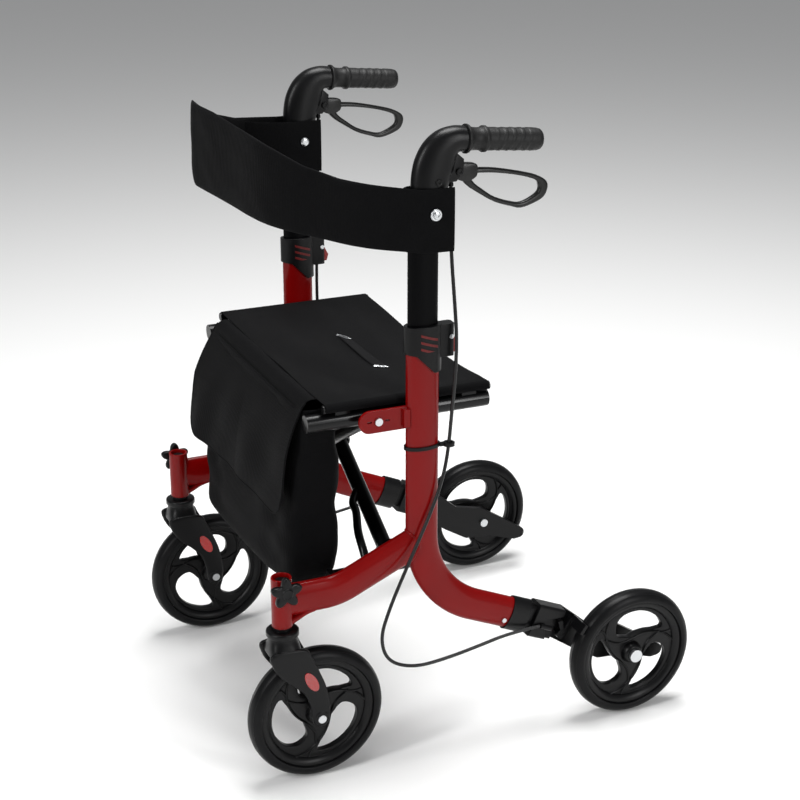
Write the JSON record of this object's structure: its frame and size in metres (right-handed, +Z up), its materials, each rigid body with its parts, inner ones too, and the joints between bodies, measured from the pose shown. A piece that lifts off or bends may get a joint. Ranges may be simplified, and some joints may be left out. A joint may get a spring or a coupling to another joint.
{
  "type": "rollator walker",
  "caption": "Folding rollator walker with an oval tube side frame each side, a cross brace under a cloth seat, a front bag, a padded backrest band, casters and loop brake levers.",
  "frame": {"origin": "on the floor under the centre of the bounding box, midway between the axles and between the sides", "axes": "+Z up; the walker faces -Y; +X is its own left"},
  "size_m": [0.59, 0.696, 0.9192],
  "materials": {
    "frame_red": "deep red gloss powder coat",
    "satin_black_plastic": "satin moulded",
    "stripe_red": "satin",
    "bright_zinc": "bright zinc plate",
    "black_paint": "gloss black paint",
    "cable_jacket": "gloss jacket",
    "black_cloth": "woven nylon",
    "black_anodised": "satin",
    "grip_rubber": "soft rubber",
    "lever_grey": "satin dark grey",
    "latch_red": "gloss moulded",
    "reflector_red": "prismatic reflector",
    "rim_black": "semi gloss moulded",
    "tyre_black": "solid tyre"
  },
  "bodies": {
    "frame_right": {"upright_right": "frame_red", "front_leg_right": "frame_red", "seat_bracket_right": "frame_red", "collar_right": "satin_black_plastic", "collar_stripes_right": "stripe_red", "frame_screws_right": "bright_zinc", "rear_socket_right": "satin_black_plastic", "rear_bracket_right": "satin_black_plastic", "rear_axle_right": "bright_zinc", "frame_fittings_right": "black_paint", "brake_cable_right": "cable_jacket"},
    "frame_left": {"upright_left": "frame_red", "front_leg_left": "frame_red", "seat_bracket_left": "frame_red", "collar_left": "satin_black_plastic", "collar_stripes_left": "stripe_red", "frame_screws_left": "bright_zinc", "rear_socket_left": "satin_black_plastic", "rear_bracket_left": "satin_black_plastic", "rear_axle_left": "bright_zinc", "frame_fittings_left": "black_paint", "brake_cable_left": "cable_jacket"},
    "brace_right": {"cross_arm_right": "black_paint", "seat_rail_left": "black_paint", "seat": "black_cloth"},
    "brace_left": {"cross_arm_left": "black_paint", "seat_rail_right": "black_paint"},
    "bag": {"bag": "black_cloth"},
    "bag_flap": {"bag_flap": "black_cloth"},
    "handle_right": {"handle_tube_right": "black_anodised", "elbow_right": "satin_black_plastic", "grip_right": "grip_rubber", "handle_bolts_right": "bright_zinc", "backrest": "black_cloth"},
    "handle_left": {"handle_tube_left": "black_anodised", "elbow_left": "satin_black_plastic", "grip_left": "grip_rubber", "handle_bolts_left": "bright_zinc"},
    "brake_lever_left": {"brake_lever_left": "lever_grey"},
    "brake_arm_left": {"brake_arm_left": "satin_black_plastic"},
    "latch_left": {"latch_lever_left": "latch_red"},
    "knob_left": {"star_knob_left": "satin_black_plastic"},
    "caster_left": {"caster_fork_left": "satin_black_plastic", "reflectors_left": "reflector_red", "front_axle_left": "bright_zinc"},
    "front_wheel_left": {"front_rim_left": "rim_black", "front_tyre_left": "tyre_black"},
    "rear_wheel_left": {"rear_rim_left": "rim_black", "rear_tyre_left": "tyre_black"},
    "brake_lever_right": {"brake_lever_right": "lever_grey"},
    "brake_arm_right": {"brake_arm_right": "satin_black_plastic"},
    "latch_right": {"latch_lever_right": "latch_red"},
    "knob_right": {"star_knob_right": "satin_black_plastic"},
    "caster_right": {"caster_fork_right": "satin_black_plastic", "reflectors_right": "reflector_red", "front_axle_right": "bright_zinc"},
    "front_wheel_right": {"front_rim_right": "rim_black", "front_tyre_right": "tyre_black"},
    "rear_wheel_right": {"rear_rim_right": "rim_black", "rear_tyre_right": "tyre_black"}
  },
  "joints": [
    {"name": "fold", "type": "hinge", "parent": "frame_right", "child": "brace_right", "pos_m": [-0.205, -0.143, 0.285], "axis": [0, -1, 0], "range_deg": [0, 50], "deforming": ["seat", "backrest", "bag", "bag_flap"]},
    {"name": "brace_crossing", "type": "hinge", "parent": "brace_right", "child": "brace_left", "pos_m": [0, -0.128, 0.402], "axis": [0, 1, 0], "range_deg": [0, 100]},
    {"name": "left_frame_hinge", "type": "hinge", "parent": "brace_left", "child": "frame_left", "pos_m": [0.205, -0.113, 0.285], "axis": [0, -1, 0], "range_deg": [0, 50]},
    {"name": "bag_hanger", "type": "hinge", "parent": "brace_left", "child": "bag", "pos_m": [-0.212, -0.228, 0.523], "axis": [0, -1, 0], "range_deg": [0, 50]},
    {"name": "bag_flap_hinge", "type": "hinge", "parent": "bag", "child": "bag_flap", "pos_m": [0, -0.228, 0.5385], "axis": [-1, 0, 0], "range_deg": [0, 100]},
    {"name": "handle_slide_right", "type": "slide", "parent": "frame_right", "child": "handle_right", "axis": [0, 0, 1], "range_m": [-0.09, 0.03], "deforming": ["brake_cable_right"]},
    {"name": "handle_slide_left", "type": "slide", "parent": "frame_left", "child": "handle_left", "axis": [0, 0, 1], "range_m": [-0.09, 0.03], "deforming": ["brake_cable_left"]},
    {"name": "brake_lever_left", "type": "hinge", "parent": "handle_left", "child": "brake_lever_left", "pos_m": [0.2415, -0.037, 0.859], "axis": [1, 0, 0], "range_deg": [0, 9], "stiffness_Nm_per_rad": 2},
    {"name": "brake_arm_left", "type": "hinge", "parent": "frame_left", "child": "brake_arm_left", "pos_m": [0.2415, 0.14, 0.141], "axis": [-1, 0, 0], "range_deg": [0, 5.5]},
    {"name": "latch_left", "type": "hinge", "parent": "frame_left", "child": "latch_left", "pos_m": [0.2415, -0.0455, 0.634], "axis": [1, 0, 0], "range_deg": [0, 60]},
    {"name": "knob_turn_left", "type": "hinge", "parent": "frame_left", "child": "knob_left", "pos_m": [0.262, -0.294, 0.304], "axis": [1, 0, 0], "continuous": true},
    {"name": "caster_swivel_left", "type": "hinge", "parent": "frame_left", "child": "caster_left", "pos_m": [0.2415, -0.294, 0.28], "axis": [0, 0, 1], "continuous": true},
    {"name": "front_wheel_spin_left", "type": "hinge", "parent": "caster_left", "child": "front_wheel_left", "pos_m": [0.2415, -0.248, 0.1], "axis": [1, 0, 0], "continuous": true},
    {"name": "rear_wheel_spin_left", "type": "hinge", "parent": "frame_left", "child": "rear_wheel_left", "pos_m": [0.272, 0.248, 0.1], "axis": [1, 0, 0], "continuous": true},
    {"name": "brake_lever_right", "type": "hinge", "parent": "handle_right", "child": "brake_lever_right", "pos_m": [-0.2415, -0.037, 0.859], "axis": [1, 0, 0], "range_deg": [0, 9], "stiffness_Nm_per_rad": 2},
    {"name": "brake_arm_right", "type": "hinge", "parent": "frame_right", "child": "brake_arm_right", "pos_m": [-0.2415, 0.14, 0.141], "axis": [-1, 0, 0], "range_deg": [0, 5.5]},
    {"name": "latch_right", "type": "hinge", "parent": "frame_right", "child": "latch_right", "pos_m": [-0.2415, -0.0455, 0.634], "axis": [1, 0, 0], "range_deg": [0, 60]},
    {"name": "knob_turn_right", "type": "hinge", "parent": "frame_right", "child": "knob_right", "pos_m": [-0.262, -0.294, 0.304], "axis": [-1, 0, 0], "continuous": true},
    {"name": "caster_swivel_right", "type": "hinge", "parent": "frame_right", "child": "caster_right", "pos_m": [-0.2415, -0.294, 0.28], "axis": [0, 0, 1], "continuous": true},
    {"name": "front_wheel_spin_right", "type": "hinge", "parent": "caster_right", "child": "front_wheel_right", "pos_m": [-0.2415, -0.248, 0.1], "axis": [1, 0, 0], "continuous": true},
    {"name": "rear_wheel_spin_right", "type": "hinge", "parent": "frame_right", "child": "rear_wheel_right", "pos_m": [-0.272, 0.248, 0.1], "axis": [1, 0, 0], "continuous": true}
  ],
  "couplings": [
    {"joint": "brace_crossing", "follows": "fold", "ratio": 2},
    {"joint": "left_frame_hinge", "follows": "fold", "ratio": 1},
    {"joint": "bag_hanger", "follows": "fold", "ratio": 1},
    {"joint": "handle_slide_left", "follows": "handle_slide_right", "ratio": 1},
    {"joint": "brake_arm_left", "follows": "brake_lever_left", "ratio": 0.6111},
    {"joint": "brake_arm_right", "follows": "brake_lever_right", "ratio": 0.6111}
  ]
}
